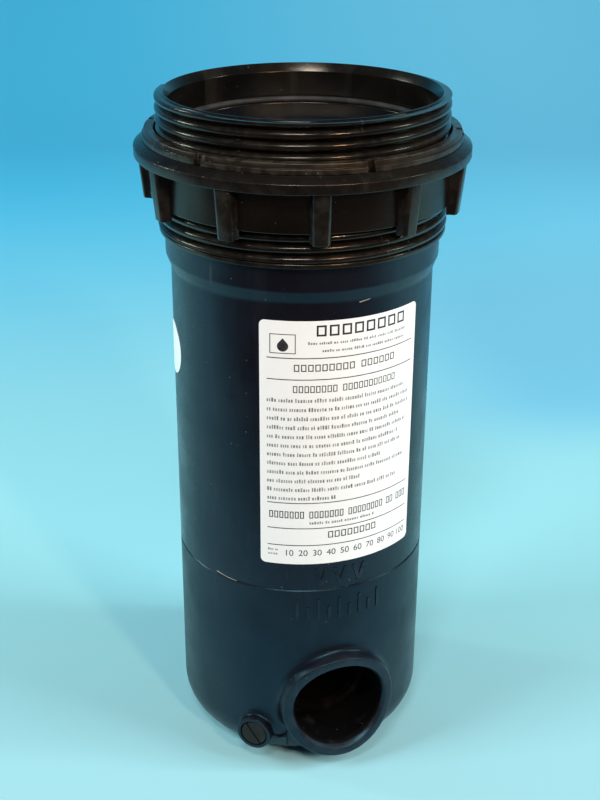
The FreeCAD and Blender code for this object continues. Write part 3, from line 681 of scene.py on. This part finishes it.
def make_plug(name, azimuth, node):
    """Drain plug: rounded head with a fine slot, and a plain shank."""
    seat = DRAIN_FACE - DRAIN_RECESS_DEPTH + 0.9
    head = seat + PLUG_HEAD_DEPTH
    shank = outline([(0.01, seat - PLUG_LENGTH), (PLUG_SHANK, seat - PLUG_LENGTH, 0.8),
                     (PLUG_SHANK, seat), (PLUG_HEAD, seat, 0.3), (PLUG_HEAD, head, 0.7),
                     (0.01, head)], 4)
    bm = turned_mesh(shank, count=96)
    bmesh.ops.transform(bm, matrix=aim(azimuth, 0, DRAIN_HEIGHT), verts=bm.verts)
    plug = finish_mesh(bm, name, PLUG)
    slot = bmesh.new()
    bmesh.ops.create_cube(slot, size=1.0)
    bmesh.ops.scale(slot, vec=(SLOT_WIDTH, 22.0, 2 * SLOT_DEPTH), verts=slot.verts)
    bmesh.ops.transform(slot, matrix=aim(azimuth, head, DRAIN_HEIGHT) @ Matrix.Rotation(0.6, 4, "Z"),
                        verts=slot.verts)
    carve(plug, [finish_mesh(slot, "slot", PLUG)])
    plug.data.set_sharp_from_angle(angle=math.radians(40))
    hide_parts(node)
    return plug


# ---------------------------------------------------------------- nut and slip ring
def make_nut():
    """Mounting nut's ring and flange; the lugs are a piece of their own."""
    points = outline([
        (NUT_BORE, NUT_LOW, 0.4), (NUT_WALL - 0.3, NUT_LOW, 0.4), (NUT_WALL, NUT_LOW + 0.5, 0.3),
        (NUT_WALL, FLANGE_LOW - 2.4, 0.5), (NUT_WALL + 1.0, FLANGE_LOW - 1.9, 0.4),
        (NUT_WALL + 1.2, FLANGE_LOW, 0.7), (FLANGE_RADIUS, FLANGE_LOW, 0.7),
        (FLANGE_RADIUS, FLANGE_EDGE, 0.9), (96.4, NUT_TOP - 0.4, 1.0), (96.0, NUT_TOP, 0.3),
        (NUT_BORE, NUT_TOP, 0.4)])
    return turned("mounting_nut_ring", points, NUT, count=300)


def make_lugs():
    """Grip lugs: tapered blocks with a soft root and rounded arrises."""
    bm = bmesh.new()
    for k in range(LUG_COUNT):
        azimuth = LUG_AZIMUTH + 360 / LUG_COUNT * k
        turn = Matrix.Rotation(math.radians(azimuth), 3, "Z")
        loops = []
        for z, reach, spread in ((LUG_LOW, 96.7, 0.0), (FLANGE_LOW + 0.6, 99.8, 0.35)):
            side = reach - 1.3
            half = [(90.6, 6.4 + spread), (92.1, 5.5 + spread), (side, 4.9 + spread),
                    (reach, 3.3 + spread)]
            section = [(-w, -r) for r, w in half] + [(w, -r) for r, w in reversed(half)]
            loops.append([turn @ Vector((x, y, z)) for x, y in section])
        prism(bm, *loops)
    piece = finish_mesh(bm, "mounting_nut_lugs", NUT)
    bevel = piece.modifiers.new("soft", "BEVEL")
    bevel.width, bevel.segments, bevel.limit_method = 0.6 * MM, 3, "ANGLE"
    bevel.angle_limit = math.radians(25)
    settle(piece)
    mark_worn(piece)
    return piece


def mark_worn(piece):
    """Mark the worn edges again after modifiers have changed a mesh."""
    bm = bmesh.new()
    bm.from_mesh(piece.data)
    bmesh.ops.scale(bm, vec=(1 / MM, 1 / MM, 1 / MM), verts=bm.verts)
    materials = list(piece.data.materials)
    fresh = finish_mesh(bm, piece.name, materials[0])
    piece.data = fresh.data
    bpy.data.objects.remove(fresh)


def make_slip_ring():
    """Stepped ring on the flange, with notches cut into its outer step."""
    low, high = corners_of("nut_slip_ring")
    outer, inner = high.x, 88.7
    half = math.degrees(NOTCH_WIDTH / 2 / outer)
    azimuths = [k * 1.5 for k in range(240)]
    for k in range(NOTCH_COUNT):
        middle = NOTCH_AZIMUTH + 360 / NOTCH_COUNT * k
        for side in (-1, 1):
            azimuths += [middle + side * (half + step) for step in (-0.22, -0.15, 0.0, 0.03)]
    azimuths = sorted(a % 360 for a in azimuths)

    def relief(azimuth, r, z):
        if r < inner + 1:
            return r
        away = min(abs((azimuth - NOTCH_AZIMUTH - 360 / NOTCH_COUNT * k + 180) % 360 - 180)
                   for k in range(NOTCH_COUNT))
        deep = min(1.0, max(0.0, (half + 0.01 - away) / 0.16))
        return r - NOTCH_DEPTH * deep

    points = outline([
        (inner, low.z, 0.3), (outer, low.z, 0.4), (outer, low.z + 2.9, 0.3),
        (outer - 1.1, low.z + 3.3, 0.3), (outer - 1.3, high.z, 0.6), (inner, high.z, 0.5)])
    return turned("slip_ring", points, RING, azimuths=azimuths, relief=relief)


# ---------------------------------------------------------------- marks moulded into the tank
def make_marks():
    """Raised flow marks in place of lettering: chevrons over a row of ticks."""
    centre = arc_length(18.0)
    chevrons = []
    for k in (-1, 0, 1):
        x, low = centre + k * 12.5, SEAM + 3.5
        chevrons.append([(x - 4.6, low + 11.5), (x - 2.6, low + 12.2), (x, low + 4.2),
                         (x + 2.6, low + 12.2), (x + 4.6, low + 11.5), (x + 1.0, low), (x - 1.0, low)])
    ticks = []
    for k in range(-4, 5):
        x, tall = centre + k * 6.8, 14.5 if k % 2 == 0 else 9.0
        ticks.append(rounded_rectangle(x - 1.0, x + 1.0, SEAM - 21.5, SEAM - 21.5 + tall, 0.8, 3))
    upper = wrapped("raised_chevrons", chevrons, TANK_RADIUS - 0.2, 0.75, TANK, 1.5, soft=0.22)
    lower = wrapped("raised_ticks", ticks, TANK_RADIUS - 0.2, 0.75, BASE, 1.5, soft=0.22)
    return upper, lower


def make_scuffs():
    """Burrs and rubbed marks: on the collar and on the seam."""
    at = arc_length
    strokes = [
        [(at(24.0), COLLAR_LOW - 9.5), (at(28.0), COLLAR_LOW - 8.6), (at(32.5), COLLAR_LOW - 6.2),
         (at(28.0), COLLAR_LOW - 8.0), (at(24.0), COLLAR_LOW - 8.8)],
        [(at(-41.0), SEAM + 2.0), (at(-35.0), SEAM + 0.7), (at(-29.5), SEAM + 0.3),
         (at(-35.0), SEAM + 1.1), (at(-41.0), SEAM + 2.5)],
    ]
    return wrapped("rubbed_marks", strokes, TANK_RADIUS - 0.1, 0.25, SCUFF, 1.5)


# ---------------------------------------------------------------- labels
def word_blocks(rng, left, right, low, tall, letter, gap):
    """Unreadable small print: little blocks in word-like groups between two places."""
    blocks, x = [], left
    while x < right - letter:
        for _ in range(rng.randint(2, 8)):
            wide = letter * rng.uniform(0.6, 1.15)
            if x + wide > right:
                return blocks
            high = tall * rng.choice((0.72, 0.72, 0.78, 1.0))
            blocks.append(rectangle(x, x + wide, low, low + high))
            x += wide + gap
        x += letter * 0.9
    return blocks


def blank_glyphs(left, right, low, tall, words, line):
    """Placeholder print: a row of empty boxes, in groups, that fills the space between two places."""
    slots = sum(words) + 0.8 * (len(words) - 1)
    pitch = (right - left) / slots
    bars, x = [], left
    for word in words:
        for _ in range(word):
            bars += frame_of(x, x + pitch * 0.76, low, low + tall, line)
            x += pitch
        x += pitch * 0.8
    return bars


def frame_of(left, right, low, high, line):
    """Four bars round a box."""
    return [rectangle(left, right, low, low + line), rectangle(left, right, high - line, high),
            rectangle(left, left + line, low, high), rectangle(right - line, right, low, high)]


def drop_shape(x, z, size):
    """A plain water drop."""
    points = [(x, z + size * 1.5)]
    for k in range(17):
        angle = math.radians(35 - 250 * k / 16)
        points.append((x + size * math.cos(angle), z + size * math.sin(angle)))
    return points


def number_meshes(numbers, tall, left, step, low, radius, material):
    """Plain numbers along a row, bent round the tank."""
    made = []
    for k, number in enumerate(numbers):
        curve = bpy.data.curves.new(f"number_{number}", "FONT")
        curve.body, curve.align_x, curve.size = str(number), "CENTER", tall * 1.38
        curve.extrude = 0.0
        text = bpy.data.objects.new(f"scale_number_{number}", curve)
        bpy.context.scene.collection.objects.link(text)
        evaluated = text.evaluated_get(bpy.context.evaluated_depsgraph_get())
        settled = bpy.data.meshes.new_from_object(evaluated)
        bpy.data.objects.remove(text)
        bm = bmesh.new()
        bm.from_mesh(settled)
        for vert in bm.verts:
            angle = (left + k * step + vert.co.x) / TANK_RADIUS
            vert.co = (radius * math.sin(angle), -radius * math.cos(angle), low + vert.co.y)
        made.append(finish_mesh(bm, f"scale_number_{number}", material))
    return made


def make_label():
    """Front label: rules, a water drop, placeholder headings, grey small print and a plain scale."""
    rng = random.Random(7)
    left, right = arc_length(LABEL_START), arc_length(LABEL_START + LABEL_SWEEP)
    top = LABEL_TOP
    sheet = rounded_rectangle(left, right, LABEL_LOW, top, 3.2)
    skin = TANK_RADIUS + LABEL_GAP
    label = wrapped("instruction_label_sheet", [sheet], skin, LABEL_THICK, LABEL)
    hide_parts("instruction_label")

    margin_left, margin_right = left + 4.4, right - 3.4
    bold = []
    for down in (22.9, 36.4, 118.1, 135.7, 147.6):
        bold.append(rectangle(margin_left, margin_right, top - down - 0.35, top - down + 0.25))
    bold += frame_of(left + 6.2, left + 21.5, top - 20.2, top - 8.0, 0.5)
    bold.append(drop_shape(left + 13.9, top - 15.6, 3.3))
    bold += blank_glyphs(left + 33.5, left + 94.5, top - 9.4, 6.8, (8,), 1.15)
    bold += blank_glyphs(left + 20.5, left + 86.0, top - 31.2, 4.4, (9, 6), 0.62)
    bold += blank_glyphs(left + 20.0, left + 87.0, top - 44.7, 4.4, (8, 11), 0.55)
    bold += blank_glyphs(left + 5.6, left + 101.0, top - 128.6, 4.8, (7, 7, 8, 2, 3), 0.6)
    bold += blank_glyphs(left + 42.0, left + 75.5, top - 143.0, 4.6, (8,), 0.65)

    small = word_blocks(rng, left + 28.6, left + 95.8, top - 14.4, 1.7, 1.0, 0.45)
    small += word_blocks(rng, left + 37.0, left + 93.1, top - 19.2, 1.7, 1.0, 0.45)
    small += word_blocks(rng, left + 30.3, left + 74.1, top - 132.8, 1.9, 1.1, 0.5)
    small += word_blocks(rng, left + 4.8, left + 11.0, top - 151.8, 1.5, 0.9, 0.4)
    small += word_blocks(rng, left + 4.8, left + 11.0, top - 154.8, 1.5, 0.9, 0.4)
    reach = (0.93, 0.99, 0.98, 0.90, 0.97, 0.89, 0.93, 0.74, 0.95, 0.60, 0.89, 0.44)
    for row, share in enumerate(reach):
        low = top - 51.0 - row * 5.92
        end = margin_left + (margin_right - margin_left) * share
        small += word_blocks(rng, margin_left, end, low, 2.6, 1.0, 0.62)

    ink_skin = skin + LABEL_THICK + INK_GAP
    prints = [wrapped("label_headings", bold, ink_skin, 0, INK),
              wrapped("label_text", small, ink_skin, 0, SMALL_INK)]
    prints += number_meshes(range(10, 110, 10), 4.3, left + 17.8, 8.75, top - 155.0, ink_skin, INK)
    return [label] + prints


def make_sticker():
    """Plain round sticker, near the left edge of the front view."""
    middle = arc_length(STICKER_AZIMUTH)
    points = [(middle + STICKER_RADIUS * math.cos(math.radians(a)),
               STICKER_HEIGHT + STICKER_RADIUS * math.sin(math.radians(a))) for a in range(0, 360, 5)]
    disc = wrapped("round_side_label", [points], TANK_RADIUS + LABEL_GAP, LABEL_THICK, LABEL)
    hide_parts("side_label")
    return disc


# ---------------------------------------------------------------- cartridge
def make_pleats(count=76):
    """Folded media, a closed solid round the core: each pleat leans and sways a little."""
    low, high = corners_of("pleated_media")
    tip, root, bore = high.x, high.x - 21.0, 30.4
    rng = random.Random(11)
    lean = [rng.uniform(-0.35, 0.35) for _ in range(count)]
    levels = [low.z + (high.z - low.z) * k / 30 for k in range(31)]
    fold = ((0.0, 0.0), (0.16, 0.10), (0.42, 0.86), (0.5, 1.0), (0.58, 0.86), (0.84, 0.10))
    rows = []
    for k in range(count):
        for share, rise in fold:
            row = []
            for z in levels:
                sway = (lean[k] * rise * math.sin(z * 0.028 + k)
                        + 0.12 * math.sin(z * 0.11 + 2.1 * k))
                angle = math.radians((k + share) * 360 / count + sway)
                r = root + (tip - root) * rise
                row.append((r * math.sin(angle), -r * math.cos(angle), z))
            angle = math.radians((k + share) * 360 / count)
            row += [(bore * math.sin(angle), -bore * math.cos(angle), z) for z in reversed(levels)]
            rows.append(row)
    piece = finish_mesh(grid_mesh(rows), "folded_media", FABRIC, 70)
    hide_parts("pleated_media")
    return piece


def make_end_cap(name, node, upward):
    """Poured end cap with a shallow dished ring; upward for the cap whose flat side faces up."""
    low, high = corners_of(node)
    outer, hole, web, rim = high.x, 27.2, 4.0, 2.0
    flat, lip = (high.z, low.z) if upward else (low.z, high.z)
    way = -1 if upward else 1
    points = [(hole, flat, 0.8), (hole + 5, flat, 0.5), (hole + 6.2, flat + way * 0.9, 0.5),
              (outer - 6.5, flat + way * 0.9, 0.5), (outer - 5.3, flat, 0.6), (outer, flat, 1.6),
              (outer, lip, 0.5), (outer - rim, lip, 0.5), (outer - rim, flat + way * web, 0.4),
              (hole, flat + way * web, 0.4)]
    piece = turned(name, outline(points[::-1] if upward else points), CAP, count=200)
    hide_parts(node)
    return piece


# ---------------------------------------------------------------- put together
def place(piece, body, slot):
    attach(piece, body)


def build():
    upper = make_tank_upper()
    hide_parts("tank_upper")
    bowl = make_bowl()
    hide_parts("tank_base")
    shell = [upper, bowl, make_socket("outlet_socket_tube", SOCKET_AZIMUTH),
             make_socket("inlet_socket_tube", SOCKET_AZIMUTH + 180),
             make_boss("front_drain_boss", DRAIN_AZIMUTH),
             make_boss("rear_drain_boss", DRAIN_AZIMUTH + 180),
             make_web("front_drain_web", DRAIN_AZIMUTH + 5, -6),
             make_web("rear_drain_web", DRAIN_AZIMUTH + 185, 174),
             *make_marks(), make_scuffs()]
    for piece in shell:
        place(piece, "tank", "tank")
    for piece in (*make_label(), make_sticker()):
        place(piece, "tank", "label")

    nut = make_nut()
    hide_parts("mounting_nut")
    for piece in (nut, make_lugs()):
        place(piece, "nut", "nut")
    ring = make_slip_ring()
    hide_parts("nut_slip_ring")
    place(ring, "slip_ring", "slip_ring")
    place(make_plug("front_drain_screw", DRAIN_AZIMUTH, "drain_plug_front"), "front_plug", "plug")
    place(make_plug("rear_drain_screw", DRAIN_AZIMUTH + 180, "drain_plug_rear"), "rear_plug", "plug")
    place(make_pleats(), "cartridge", "media")
    place(make_end_cap("top_end_cap", "cartridge_top_cap", True), "cartridge", "end_cap")
    place(make_end_cap("bottom_end_cap", "cartridge_bottom_cap", False), "cartridge", "end_cap")


def finish_cad_nodes():
    """Give the CAD nodes whose shape is already right their own materials."""
    finishes = {
        # The elbow deep in the outlet wears the near-black bore material: painted shade.
        "outlet_elbow": PAINTED_BORE_SHADE, "spigot_o_ring": SEAL, "neck_o_ring": SEAL, "bypass_o_ring": SEAL,
        "drain_o_ring_front": SEAL, "drain_o_ring_rear": SEAL, "cartridge_gasket": GASKET,
        "cartridge_core": CORE, "media_bands": BAND, "bypass_body": VALVE, "bypass_spider": VALVE,
        "bypass_seal": SEAL, "bypass_poppet": POPPET, "bypass_spring": SPRING}
    for name, material in finishes.items():
        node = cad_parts[name]
        node.data.materials.clear()
        node.data.materials.append(material)


# ---------------------------------------------------------------- stage
def sweep_floor():
    """Pale seamless sheet: flat under the part and curving up far behind it. Its colour holds painted
    light: lighter to the right far off, a painted shadow band on the right behind the tank, darker
    in front of the axis, and painted shade well in front, where only the tank's gloss sees it."""
    shade = Shader("pale_sheet")
    split = shade.node("ShaderNodeSeparateXYZ", Vector=shade.place)
    away = shade.sums("ADD", split.outputs["Y"], shade.sums("MULTIPLY", shade.noise(1.5, 3), 0.15))
    aside = shade.sums("ADD", split.outputs["X"], shade.sums("MULTIPLY", split.outputs["Y"], 0.12))
    # Far off, the sheet is painted lighter to the right: painted light falloff.
    far = shade.mix(shade.spread(aside, -0.3, 0.7), (0.085, 0.60, 0.92), (0.20, 0.70, 0.97))
    tone = shade.mix(shade.spread(away, 0.35, 1.5), (0.26, 0.58, 0.66), far)
    # Painted shadow: a darker band on the right, behind the tank.
    patch = shade.sums("MULTIPLY", shade.spread(aside, 0.10, 0.34), shade.spread(away, 0.42, 0.60))
    patch = shade.sums("MULTIPLY", patch, shade.spread(away, 0.62, 1.3, 0.75, 0.0))
    tone = shade.mix(patch, tone, (0.13, 0.44, 0.66))
    # Darker and greyer in front of the axis.
    tone = shade.mix(shade.spread(away, -0.05, 0.22, 1.0, 0.0), tone, (0.25, 0.49, 0.56))
    # Painted shade: near black well in front, so the tank's gloss mirrors a dark room there.
    tone = shade.mix(shade.spread(away, -0.36, -0.06, 1.0, 0.0), tone, (0.035, 0.03, 0.035))
    shade.set(Base_Color=tone, Roughness=0.8, Normal=shade.bump(shade.noise(700, 2), 0.00004))
    bm = bmesh.new()
    profile = [(-3.0, 0.0), (1.6, 0.0)]
    for k in range(1, 13):
        angle = math.pi / 2 * k / 12
        profile.append((1.6 + 1.2 * math.sin(angle), 1.2 * (1 - math.cos(angle))))
    profile.append((2.8, 3.5))
    strips = [[bm.verts.new((x, y, z)) for y, z in profile] for x in (-4.0, 4.0)]
    for j in range(len(profile) - 1):
        bm.faces.new((strips[0][j], strips[1][j], strips[1][j + 1], strips[0][j + 1]))
    mesh = bpy.data.meshes.new("pale_sheet")
    bm.to_mesh(mesh)
    bm.free()
    mesh.shade_smooth()
    mesh.materials.append(shade.material)
    floor = bpy.data.objects.new("pale_sheet", mesh)
    bpy.context.scene.collection.objects.link(floor)


def area_light(name, place_at, look_at, size, power, colour, mirrored=True):
    """A rectangular lamp; one that isn't mirrored lights surfaces without showing in their gloss."""
    lamp = bpy.data.lights.new(name, "AREA")
    lamp.shape, lamp.size, lamp.size_y = "RECTANGLE", size[0], size[1]
    lamp.energy, lamp.color = power, colour
    holder = bpy.data.objects.new(name, lamp)
    holder.location = place_at
    way = Vector(look_at) - Vector(place_at)
    holder.rotation_euler = way.to_track_quat("-Z", "Y").to_euler()
    holder.visible_glossy = mirrored
    bpy.context.scene.collection.objects.link(holder)


def light_stage():
    """A dim room, a key from the front, soft side panels that leave no glint, and two windows."""
    world = bpy.data.worlds.new("soft_room")
    world.use_nodes = True
    background = world.node_tree.nodes["Background"]
    background.inputs["Color"].default_value = (0.30, 0.45, 0.60, 1)
    background.inputs["Strength"].default_value = 0.14
    bpy.context.scene.world = world
    area_light("top_fill", (-0.2, -1.5, 2.1), (0, 0, 0.1), (0.5, 0.4), 24, (1.0, 0.96, 0.9))
    area_light("front_warm", (0.80, -1.5, 1.25), (0, 0, 0.35), (0.14, 0.2), 16, (1.0, 0.64, 0.38))
    area_light("left_panel", (-1.7, -0.7, 1.5), (0, 0, 0.1), (0.9, 1.1), 41, (0.92, 1.0, 1.0),
               mirrored=False)
    area_light("right_panel", (1.7, -0.5, 1.4), (0, 0, 0.1), (0.9, 1.1), 41, (0.96, 1.0, 1.0),
               mirrored=False)
    area_light("left_window", (-1.65, 0.44, 1.1), (0, 0, 0.35), (0.2, 0.4), 8, (0.80, 1.0, 0.88))
    area_light("right_window", (1.7, -0.18, 1.2), (0, 0, 0.35), (0.2, 0.35), 6, (0.85, 1.0, 0.9))
    bpy.context.scene.view_settings.view_transform = "Standard"


def set_camera():
    """Stand where the view of the part asks: in front, about 25 degrees above."""
    tilt, swing, roll = 0.428454, 0.001028, 0.005386
    camera = bpy.data.cameras.new("camera")
    camera.sensor_width, camera.lens = 36.0, 60.08
    holder = bpy.data.objects.new("camera", camera)
    turn = (Matrix.Rotation(swing, 4, "Z") @ Matrix.Rotation(math.pi / 2 - tilt, 4, "X")
            @ Matrix.Rotation(roll, 4, "Z"))
    holder.matrix_world = Matrix.Translation((0.0, -0.79117, 0.59166)) @ turn
    bpy.context.scene.collection.objects.link(holder)
    bpy.context.scene.camera = holder


set_camera()
build()
finish_cad_nodes()
sweep_floor()
light_stage()
